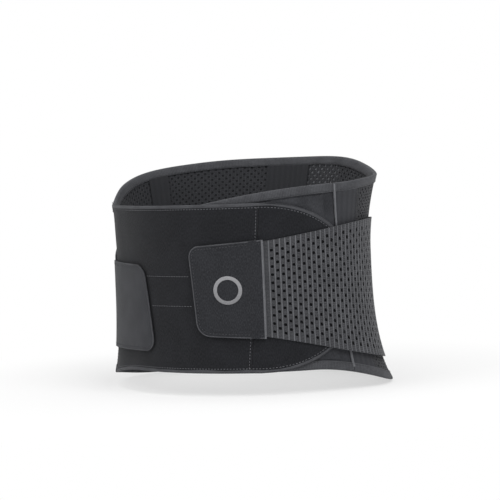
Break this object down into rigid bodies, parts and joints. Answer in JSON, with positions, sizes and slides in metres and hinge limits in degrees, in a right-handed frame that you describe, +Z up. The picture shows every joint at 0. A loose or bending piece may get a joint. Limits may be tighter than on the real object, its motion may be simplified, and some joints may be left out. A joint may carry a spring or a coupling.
{
  "type": "lumbar support belt",
  "caption": "Closed waist support belt: tall contoured back with stays, two overlapping wings and two elastic side straps that hold by hook tabs.",
  "frame": {"origin": "the middle of the whole belt's box in plan, at the level of the belt's lowest edge", "axes": "+X towards the wearer's left, -Y towards the wearer's front, +Z up"},
  "size_m": [0.3103, 0.2306, 0.2291],
  "materials": {
    "mesh_knit": "perforated spacer knit, matte",
    "lining": "brushed knit lining, matte",
    "woven_band": "smooth woven band",
    "hem_tape": "knitted binding tape",
    "piping": "light grey piping cord",
    "loop_pile": "brushed loop pile",
    "wing_cloth": "brushed cloth over foam",
    "elastic": "perforated elastic webbing",
    "tab_cloth": "smooth laminated cloth",
    "hook_tape": "moulded hook tape",
    "badge_print": "grey raised print",
    "spring_steel": "flat spring strip"
  },
  "bodies": {
    "belt_back": {"back_mesh": "mesh_knit", "back_lining": "lining", "side_band_left": "woven_band", "side_band_right": "woven_band", "spine_band": "woven_band", "outer_band_left": "woven_band", "outer_band_right": "woven_band", "spine_stay_left": "spring_steel", "spine_stay_right": "spring_steel", "outer_stay_left": "spring_steel", "outer_stay_right": "spring_steel", "side_stay_left": "spring_steel", "side_stay_right": "spring_steel", "top_hem": "hem_tape", "bottom_hem": "hem_tape", "strap_anchor_left": "tab_cloth", "strap_anchor_right": "tab_cloth", "seam_piping": "piping", "side_strap_rear": "elastic"},
    "under_wing": {"under_wing": "lining", "under_wing_loop": "loop_pile", "under_wing_top_hem": "hem_tape", "under_wing_bottom_hem": "hem_tape"},
    "over_wing": {"over_wing": "wing_cloth", "over_wing_end": "loop_pile", "over_wing_rim": "hem_tape", "over_wing_hook": "hook_tape"},
    "front_strap": {"front_strap": "elastic"},
    "front_tab": {"front_tab": "tab_cloth", "front_tab_hook": "hook_tape", "front_tab_badge": "badge_print"},
    "side_strap": {"side_strap": "elastic"},
    "side_tab": {"side_tab": "tab_cloth", "side_tab_hook": "hook_tape"}
  },
  "joints": [
    {"name": "front_strap_swing", "type": "hinge", "parent": "belt_back", "child": "front_strap", "pos_m": [0.07779, 0.09246, 0.13812], "axis": [0, 0, 1], "range_deg": [0, 80]},
    {"name": "front_tab_peel", "type": "hinge", "parent": "front_strap", "child": "front_tab", "pos_m": [0.0777, -0.09838, 0.13812], "axis": [0, 0, 1], "range_deg": [0, 100]},
    {"name": "over_wing_open", "type": "hinge", "parent": "belt_back", "child": "over_wing", "pos_m": [-0.1376, -0.04577, 0.13812], "axis": [0, 0, 1], "range_deg": [-34, 0]},
    {"name": "under_wing_open", "type": "hinge", "parent": "belt_back", "child": "under_wing", "pos_m": [0.13822, -0.04262, 0.13812], "axis": [0, 0, 1], "range_deg": [0, 18]},
    {"name": "side_strap_swing", "type": "hinge", "parent": "over_wing", "child": "side_strap", "pos_m": [-0.13313, -0.04351, 0.13812], "axis": [0, 0, 1], "range_deg": [-60, 0]},
    {"name": "side_tab_peel", "type": "hinge", "parent": "side_strap", "child": "side_tab", "pos_m": [-0.12405, -0.05905, 0.13812], "axis": [0, 0, 1], "range_deg": [-90, 0]}
  ],
  "couplings": [
    {"joint": "over_wing_open", "follows": "front_strap_swing", "ratio": -0.4},
    {"joint": "under_wing_open", "follows": "front_strap_swing", "ratio": 0.2}
  ]
}
